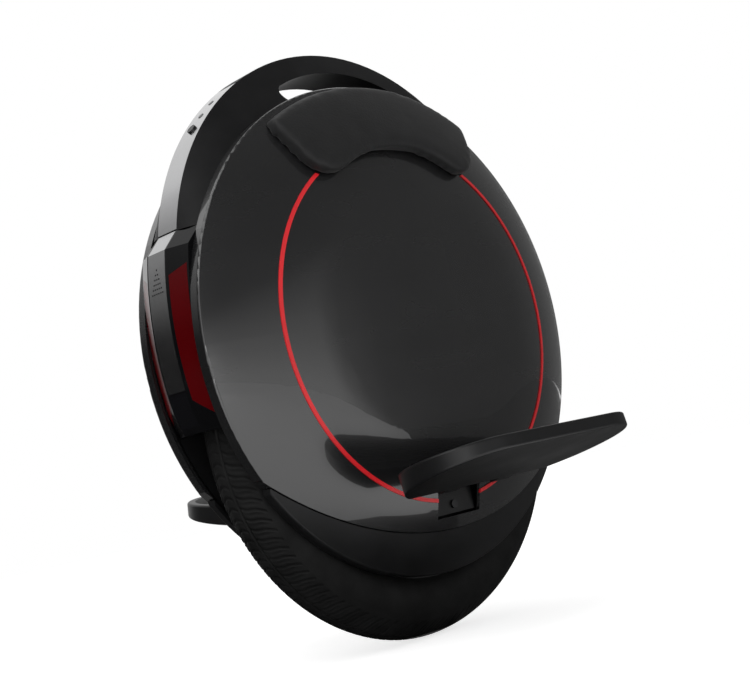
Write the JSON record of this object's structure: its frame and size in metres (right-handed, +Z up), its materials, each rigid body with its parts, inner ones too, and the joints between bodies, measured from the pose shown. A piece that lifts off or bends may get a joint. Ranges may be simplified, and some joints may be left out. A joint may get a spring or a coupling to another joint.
{
  "type": "electric unicycle",
  "caption": "Self-balancing electric unicycle with a hub-motor wheel inside a domed round body, folding pedals, leg pads and a carrying handle cut into its crown.",
  "frame": {"origin": "on the floor under the wheel's axle, at the middle of the object", "axes": "+X forward, towards the end with the headlamp and speaker; +Y to the rider's left; +Z up"},
  "size_m": [0.42, 0.3632, 0.4967],
  "materials": {
    "body_black": "satin moulded black",
    "shell_gloss": "polished black",
    "skirt_black": "satin black",
    "fairing_gloss": "polished black",
    "strip_gloss": "satin metallic grey",
    "panel_grey": "satin metallic grey",
    "accent_red": "satin red",
    "marker_red": "translucent dark red",
    "lens_smoked": "smoked clear",
    "tail_red": "translucent dark red",
    "pad_black": "matte foam with a soft skin",
    "button_black": "matte",
    "light_clear": "frosted",
    "socket_black": "matte",
    "cap_rubber": "matte",
    "tyre_black": "matte tread",
    "tube_rubber": "matte",
    "alloy_dark": "dark anodised",
    "alloy_bare": "machined",
    "steel": "ground",
    "screw_black": "black oxide",
    "magnet_nickel": "nickel plated",
    "copper": "enamelled wire",
    "brass": "turned",
    "grip_rubber": "ribbed matte",
    "pack_blue": "shrink wrap",
    "board_green": "solder mask",
    "component_black": "sleeved"
  },
  "bodies": {
    "frame": {"main_frame": "body_black", "side_shell_left": "shell_gloss", "side_shell_right": "shell_gloss", "lower_skirt_left": "skirt_black", "lower_skirt_right": "skirt_black", "accent_ring_left": "accent_red", "accent_ring_right": "accent_red", "leg_pad_left": "pad_black", "leg_pad_right": "pad_black", "speaker": "component_black", "front_strip": "strip_gloss", "rear_strip": "strip_gloss", "indicator_lights": "light_clear", "front_fairing": "fairing_gloss", "rear_fairing": "fairing_gloss", "front_face_panel": "panel_grey", "rear_face_panel": "panel_grey", "headlamp_lens": "lens_smoked", "headlamp_board": "board_green", "tail_lamp_lens": "tail_red", "tail_lamp_board": "board_green", "marker_light_front_left": "marker_red", "marker_light_front_right": "marker_red", "marker_light_rear_left": "marker_red", "marker_light_rear_right": "marker_red", "charge_socket": "socket_black", "shell_screws": "screw_black", "axle": "steel", "stator_core": "steel", "stator_windings": "copper", "axle_washers": "steel", "axle_nuts": "steel", "pedal_hanger_left": "alloy_dark", "pedal_hanger_right": "alloy_dark", "hinge_pin_left": "steel", "hinge_pin_right": "steel", "hanger_screws": "screw_black", "battery_pack_left": "pack_blue", "battery_pack_right": "pack_blue", "control_board": "board_green", "board_posts": "brass", "heat_sink": "alloy_bare", "board_capacitors": "component_black"},
    "wheel": {"tyre": "tyre_black", "inner_tube": "tube_rubber", "motor_rim": "alloy_dark", "valve_stem": "brass", "rotor_magnets": "magnet_nickel", "hub_cover_left": "alloy_dark", "hub_cover_right": "alloy_dark", "cover_screws": "screw_black", "wheel_bearing_left": "steel", "wheel_bearing_right": "steel"},
    "pedal_left": {"pedal_left": "alloy_dark", "pedal_grip_left": "grip_rubber"},
    "pedal_right": {"pedal_right": "alloy_dark", "pedal_grip_right": "grip_rubber"},
    "power_button": {"power_button": "button_black"},
    "charge_cap": {"charge_port_cap": "cap_rubber"}
  },
  "joints": [
    {"name": "wheel_spin", "type": "hinge", "parent": "frame", "child": "wheel", "pos_m": [0, 0, 0.186], "axis": [0, 1, 0], "continuous": true},
    {"name": "pedal_left_fold", "type": "hinge", "parent": "frame", "child": "pedal_left", "pos_m": [0, 0.077, 0.127], "axis": [1, 0, 0], "range_deg": [0, 74]},
    {"name": "pedal_right_fold", "type": "hinge", "parent": "frame", "child": "pedal_right", "pos_m": [0, -0.077, 0.127], "axis": [-1, 0, 0], "range_deg": [0, 74]},
    {"name": "power_button_press", "type": "slide", "parent": "frame", "child": "power_button", "axis": [-0.7524, 0, -0.6587], "range_m": [0, 0.0012], "stiffness_N_per_m": 600, "springref_m": -0.0004},
    {"name": "charge_cap_open", "type": "hinge", "parent": "frame", "child": "charge_cap", "pos_m": [-0.20682, 0, 0.2988], "axis": [0, 1, 0], "range_deg": [0, 90]}
  ]
}
